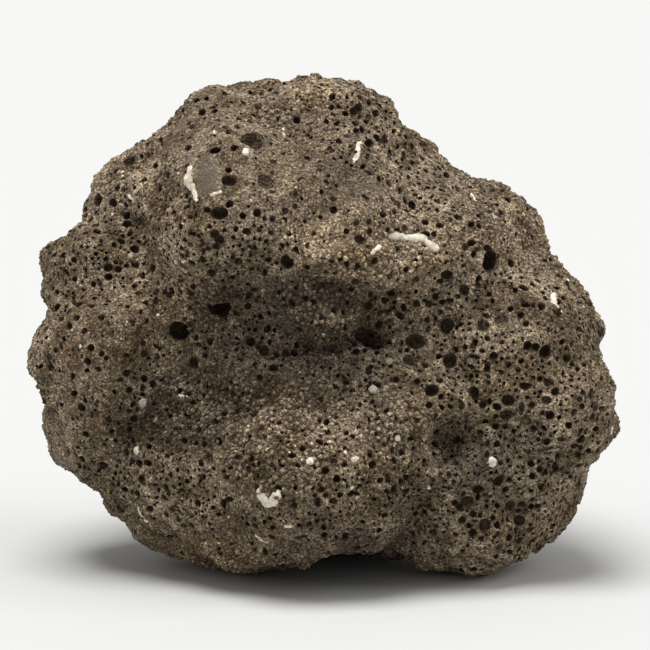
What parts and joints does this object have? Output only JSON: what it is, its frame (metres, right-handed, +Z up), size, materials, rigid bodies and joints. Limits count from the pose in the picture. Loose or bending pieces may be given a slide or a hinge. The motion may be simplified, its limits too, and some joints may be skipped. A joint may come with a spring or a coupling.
{
  "type": "pumice stone",
  "caption": "Rough, rounded lump of dark grey-brown pumice with a heavy brow, a full belly and gas holes all over, standing by itself on three worn feet.",
  "frame": {"origin": "middle of the bounding box's base, on the plane that the stone stands on", "axes": "+X along the stone's width, to the right of its face; -Y out of the face with the brow and the belly; +Z up"},
  "size_m": [0.09, 0.073, 0.0747],
  "materials": {
    "pumice": "dry, matt, rough and full of gas holes, with a few white mineral fillings"
  },
  "bodies": {
    "root": {"pumice_stone": "pumice"}
  },
  "joints": []
}
